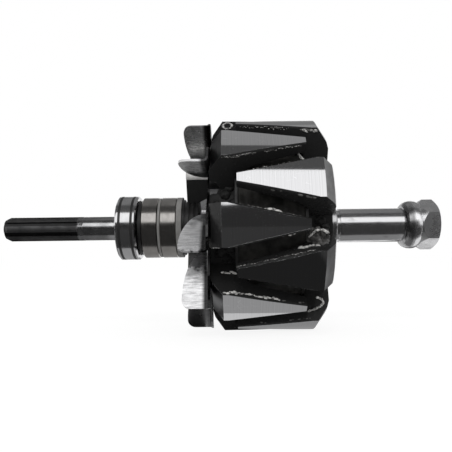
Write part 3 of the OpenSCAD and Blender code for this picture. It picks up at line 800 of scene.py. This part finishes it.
class ROTOR_OT_resin(bpy.types.Operator):
    """Lays the beads of hardened varnish along the claws and the lumps in the gaps between them"""

    bl_idname = "rotor.resin"
    bl_label = "Resin beads"

    # claw, side, from and to depth in mm, radius in mm, bead size in mm, spacing in mm
    REAR_RUNS = (
        (-1, 1, 66, 82, 51.2, 0.3, 0.9), (0, -1, 60, 79, 50.8, 0.34, 0.8),
        (0, -1, 66, 71, 50.0, 1.5, 0.7), (0, 1, 75.8, 77.2, 49.8, 1.0, 1.2),
        (1, -1, 47.6, 72, 50.9, 0.65, 0.6), (1, -1, 47, 53, 40.0, 0.8, 0.8),
        (0, 1, 43.5, 46, 45.4, 0.6, 0.9), (-1, -1, 54, 62, 50.8, 0.5, 1.3),
        (-1, 1, 47.6, 62, 51.3, 0.22, 0.45), (3, 1, 50, 74, 50.8, 0.8, 1.0),
        (4, -1, 48, 66, 50.6, 0.9, 1.0), (-3, 1, 58, 80, 51.0, 0.7, 1.2),
    )
    FRONT_RUNS = (
        (-2, 1, 60, 83, 51.2, 0.25, 0.9), (-2, 1, 47.6, 54, 50.8, 0.7, 0.6),
        (0, -1, 52, 83, 51.0, 0.24, 0.9), (0, -1, 50, 58, 46.5, 0.9, 1.2),
        (-1, -1, 47.6, 54, 50.9, 0.8, 0.8), (-1, -1, 60, 81, 51.4, 0.2, 0.5),
        (3, -1, 48, 70, 50.8, 0.8, 1.0), (-4, 1, 52, 80, 51.0, 0.6, 1.0),
    )
    # strings of resin that hang between claws: x in mm, turn in degrees, radius in mm
    STRINGS = (
        ((88.8, 45, 47.2), (91, 47, 47), (92.2, 50.5, 46.8),
         (91, 54.5, 46.8), (88, 57.5, 47.2), (85.4, 58.5, 47.6)),
        ((80.4, -41.5, 46.6), (81.6, -38.5, 45.6), (83.4, -35, 45.8), (85.3, -31.5, 46.5)),
        ((84, 9, 44.6), (86.5, 5.5, 45.6), (89.5, 5, 45.6), (92.5, 7.5, 44.6)),
    )
    # gap by its turn in degrees, middle depth of its resin in mm, half sizes in mm
    MASSES = (
        (13, 49.0, (5.0, 6.2, 5.2)),
        (137.2, 50, (4.0, 4.4, 5.6)),
        (-132.8, 50, (4.0, 5.0, 5.0)),
    )

    def execute(self, context):
        looks = context.scene.rotor_looks
        black = resin_finish("black_resin", tuple(looks.varnish), 0.3)
        black.set("Specular IOR Level", 0.15)
        cloudy = resin_finish("cloudy_resin", (0.1, 0.098, 0.095), 0.1)
        # pale resin whose pale colour also stands in for glints: partly a painted highlight
        pale = resin_finish("pale_resin_and_glints", (0.74, 0.73, 0.71), 0.12, fade=0.12)
        draw = random.Random(7)
        for front, runs in ((False, self.REAR_RUNS), (True, self.FRONT_RUNS)):
            end = "front" if front else "rear"
            first = POLE_TURN + (0.5 * PITCH if front else 0.0)
            shape = bmesh.new()
            for claw in range(CLAWS):
                for side in (-1, 1):
                    self.edge_beads(shape, first + claw * PITCH, side, front, looks, draw)
            make_piece(end + "_resin_beads", shape, cloudy)
            shape = bmesh.new()
            for claw, side, start, stop, radius, size, gap in runs:
                self.bead_run(shape, first + claw * PITCH, side, front, (start * MM, stop * MM),
                              radius * MM, size * MM, gap * MM, draw)
            make_piece(end + "_resin_runs", shape, pale)
        shape = bmesh.new()
        for points in self.STRINGS:
            self.string(shape, points, draw)
        make_piece("resin_strings", shape, pale)
        self.curl(pale)
        shape = bmesh.new()
        for front in (False, True):
            for gap in range(CLAWS):
                turn = POLE_TURN + (gap + (0.0 if front else 0.5)) * PITCH
                self.gap_lumps(shape, turn, front, draw)
        make_piece("gap_resin", shape, black)
        shape = bmesh.new()
        for turn, depth, size in self.MASSES:
            self.gap_mass(shape, math.radians(turn), depth * MM, [part * MM for part in size], draw)
        make_piece("resin_masses", shape, cloudy)
        return {"FINISHED"}

    def string(self, shape, points, draw):
        """A lumpy thread of resin through a few points"""
        spots = [Vector((x * MM, 0, 0)) + outward(math.radians(turn)) * radius * MM
                 for x, turn, radius in points]
        axes = (Vector((1, 0, 0)), Vector((0, 1, 0)), Vector((0, 0, 1)))
        for start, end in zip(spots, spots[1:]):
            steps = max(2, round((end - start).length / (0.7 * MM)))
            for step in range(steps):
                size = draw.uniform(0.35, 0.7) * MM
                self.blob(shape, start.lerp(end, step / steps), axes, (size, size, size), draw)

    def blob(self, shape, centre, axes, size, draw, detail=2, dent=0.28):
        """One rounded lump, its size along three directions, dented at random"""
        made = bmesh.ops.create_icosphere(shape, subdivisions=detail, radius=1.0)["verts"]
        shift = Vector((draw.uniform(-9, 9), draw.uniform(-9, 9), draw.uniform(-9, 9)))
        for vert in made:
            local = vert.co * (1 + dent * noise.noise(vert.co * 1.6 + shift)
                               + 0.4 * dent * noise.noise(vert.co * 4 + shift))
            vert.co = (centre + axes[0] * local.x * size[0] + axes[1] * local.y * size[1]
                       + axes[2] * local.z * size[2])

    def flank_bead(self, shape, turn, side, front, depth, radius, size, draw):
        """A bead that sits on a claw's flank, below the pole face"""
        slant = (ROOT_HALF - TIP_HALF) / (TAPER_END - TAPER_FROM) if depth > TAPER_FROM else 0.0
        run = Vector((-1.0 if front else 1.0, 0, 0)) - along(turn) * side * slant
        high = min(size * 0.8, POLE_R - FACE_CLEAR - radius)
        centre = flank_point(turn, side, depth, radius, front)
        axes = (run.normalized(), outward(turn), along(turn) * side)
        self.blob(shape, centre, axes, (size * 1.3, high, size * 0.7), draw)

    def edge_beads(self, shape, turn, side, front, looks, draw):
        """Small uneven beads under the edge of a pole face, in runs with bare stretches between"""
        depth = TAPER_FROM - 4 * MM
        thick = draw.uniform(0.4, 0.9)
        while depth < CLAW_TIP - 2 * MM:
            depth += looks.bead_gap * draw.uniform(0.4, 1.6)
            if noise.noise(Vector((depth * 160, turn * 3.1, side * 2.0 + (5.0 if front else 0.0)))) < 0.05:
                continue
            size = looks.bead_size * draw.uniform(0.5, 1.3) * thick
            self.flank_bead(shape, turn, side, front, depth, POLE_R - draw.uniform(0.8, 1.5) * MM, size, draw)

    def bead_run(self, shape, turn, side, front, depths, radius, size, gap, draw):
        """A thick uneven run of beads on one flank"""
        depth = depths[0]
        while depth < depths[1]:
            big = size * draw.uniform(0.5, 1.15)
            low = min(radius + draw.uniform(-0.8, 0.2) * MM, POLE_R - FACE_CLEAR - 0.6 * big)
            self.flank_bead(shape, turn, side, front, min(depth, CLAW_TIP - 0.8 * MM), low, big, draw)
            depth += gap * draw.uniform(0.6, 1.4)

    def curl(self, finish):
        """A drip that curled into a ring on the flank of an upper claw"""
        shape = bmesh.new()
        ring = list(bmesh.ops.create_circle(shape, cap_ends=False, segments=10, radius=CURL_TUBE_R)["verts"])
        middle = (CURL_R, 0, 0)
        bmesh.ops.translate(shape, verts=ring, vec=middle)
        edges = list({e for v in ring for e in v.link_edges})
        bmesh.ops.rotate(shape, verts=ring, cent=middle, matrix=Matrix.Rotation(math.pi / 2, 3, "X"))
        bmesh.ops.spin(shape, geom=ring + edges, cent=(0, 0, 0), axis=(0, 0, 1), angle=FULL_TURN, steps=28,
                       use_merge=True)
        bmesh.ops.remove_doubles(shape, verts=shape.verts, dist=MERGE_DIST)
        turn = POLE_TURN - 2 * PITCH
        centre = flank_point(turn, 1, CURL_DEPTH, POLE_R - CURL_BELOW, False) + along(turn) * 0.2 * MM
        for vert in shape.verts:
            local = vert.co * (1 + 0.16 * noise.noise(vert.co * 900))
            vert.co = (centre + Vector((1.3, 0, 0)) * local.x + outward(turn) * local.y * 0.8
                       + along(turn) * local.z)
        make_piece("resin_curl", shape, finish)

    def gap_lumps(self, shape, turn, front, draw):
        """Resin that ran together on the floor between two claws"""
        for _ in range(LUMPS_IN_GAP):
            depth = POLE_REAR + draw.uniform(3, 12) * MM
            spot = turn + math.radians(draw.uniform(-9, 9))
            x = 2 * POLE_MID - depth if front else depth
            wide = draw.uniform(1.0, 2.6) * MM
            high = draw.uniform(0.4, 1.2) * MM
            centre = Vector((x, 0, 0)) + outward(spot) * (VALLEY_R + 0.1 * MM)
            axes = (Vector((1, 0, 0)), outward(spot), along(spot))
            self.blob(shape, centre, axes, (wide * 1.1, high, wide), draw, detail=3)

    def gap_mass(self, shape, turn, depth, size, draw):
        """A big mass of resin that fills the gap behind a claw's tip"""
        centre = Vector((2 * POLE_MID - depth, 0, 0)) + outward(turn) * (VALLEY_R + size[1] * 0.8)
        axes = (Vector((1, 0, 0)), outward(turn), along(turn))
        self.blob(shape, centre, axes, size, draw, detail=5, dent=0.5)
        for _ in range(LUMPS_ON_MASS):
            lift = draw.uniform(0.2, 1.0)
            spot = turn + math.radians(draw.uniform(-8, 8))
            place = Vector((2 * POLE_MID - depth + draw.uniform(-0.8, 0.8) * size[0], 0, 0))
            place += outward(spot) * (VALLEY_R + size[1] * (0.7 + 0.9 * lift))
            wide = draw.uniform(0.5, 1.5) * MM
            self.blob(shape, place, axes, (wide, wide * 0.8, wide), draw)


class ROTOR_OT_fasteners(bpy.types.Operator):
    """Finishes the spring washer and the pulley nut"""

    bl_idname = "rotor.fasteners"
    bl_label = "Washer and nut"

    def execute(self, context):
        looks = context.scene.rotor_looks
        dress("spring_washer", washer_finish(looks))
        dress("pulley_nut", nut_finish(looks))
        return {"FINISHED"}


class ROTOR_PT_panel(bpy.types.Panel):
    """Lists the steps that dress the rotor"""

    bl_idname = "ROTOR_PT_panel"
    bl_label = "Alternator rotor"
    bl_space_type = "VIEW_3D"
    bl_region_type = "UI"
    bl_category = "Rotor"

    def draw(self, context):
        for group in (context.scene.rotor_looks, context.scene.rotor_stage):
            box = self.layout.box()
            for name in group.__annotations__:
                box.prop(group, name)
        for step in STEPS:
            self.layout.operator(step.bl_idname)


STEPS = (ROTOR_OT_stage, ROTOR_OT_shaft, ROTOR_OT_bearing, ROTOR_OT_slip_rings, ROTOR_OT_fan,
         ROTOR_OT_poles, ROTOR_OT_coil, ROTOR_OT_resin, ROTOR_OT_fasteners)
CLASSES = (RotorLooks, RotorStage, *STEPS, ROTOR_PT_panel)


def register():
    for item in CLASSES:
        bpy.utils.register_class(item)
    bpy.types.Scene.rotor_looks = bpy.props.PointerProperty(type=RotorLooks)
    bpy.types.Scene.rotor_stage = bpy.props.PointerProperty(type=RotorStage)


def unregister():
    del bpy.types.Scene.rotor_stage
    del bpy.types.Scene.rotor_looks
    for item in reversed(CLASSES):
        bpy.utils.unregister_class(item)


def main():
    register()
    bpy.ops.rotor.stage()
    bpy.ops.rotor.shaft()
    bpy.ops.rotor.bearing()
    bpy.ops.rotor.slip_rings()
    bpy.ops.rotor.fan()
    bpy.ops.rotor.poles()
    bpy.ops.rotor.coil()
    bpy.ops.rotor.resin()
    bpy.ops.rotor.fasteners()


if __name__ == "__main__":
    main()
